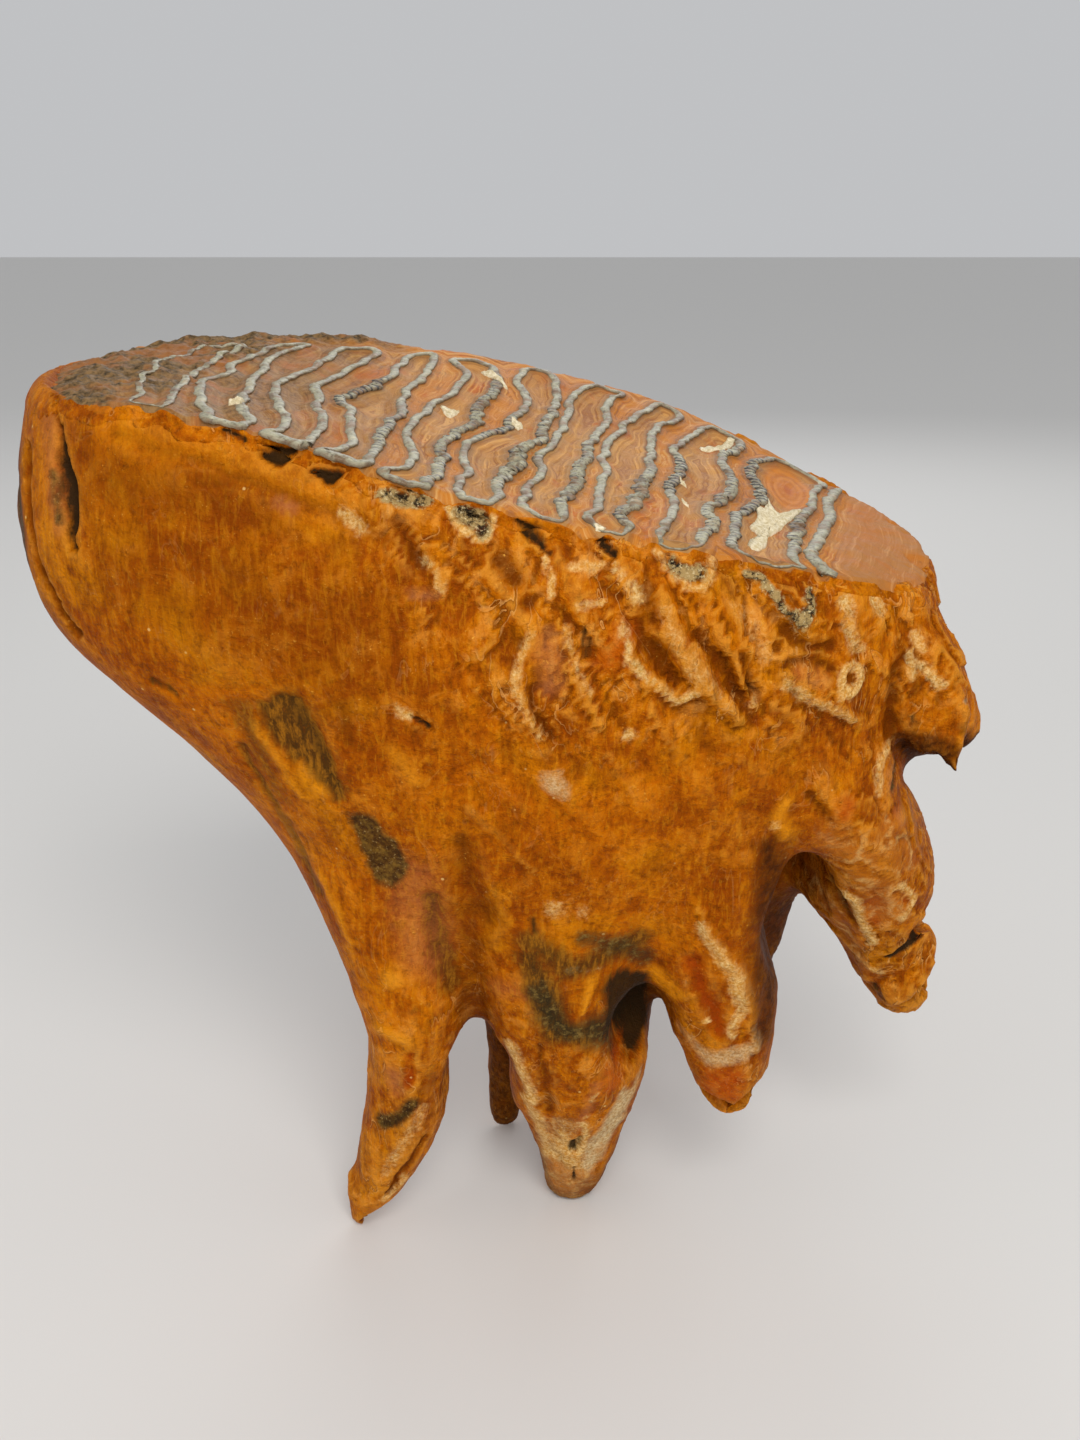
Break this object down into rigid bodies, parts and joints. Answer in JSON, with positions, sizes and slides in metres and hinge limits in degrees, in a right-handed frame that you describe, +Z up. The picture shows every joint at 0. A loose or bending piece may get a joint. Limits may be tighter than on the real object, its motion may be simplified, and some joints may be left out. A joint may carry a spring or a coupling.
{
  "type": "fossil mammoth molar tooth",
  "caption": "Fossil mammoth molar with a worn ridged chewing face, deep stained flanks and tapering roots, standing on its root tips.",
  "frame": {"origin": "on the floor, under the middle of the tooth's bounding box", "axes": "+X towards the tooth's front end, along the row of plates; +Y across the crown, away from the near flank; +Z up to the chewing face"},
  "size_m": [0.1706, 0.0844, 0.1687],
  "materials": {
    "stained_tooth": "mineral-stained golden brown cementum, satin, with grey enamel ridges on the worn face"
  },
  "bodies": {
    "root": {"mammoth_molar": "stained_tooth"}
  },
  "joints": []
}
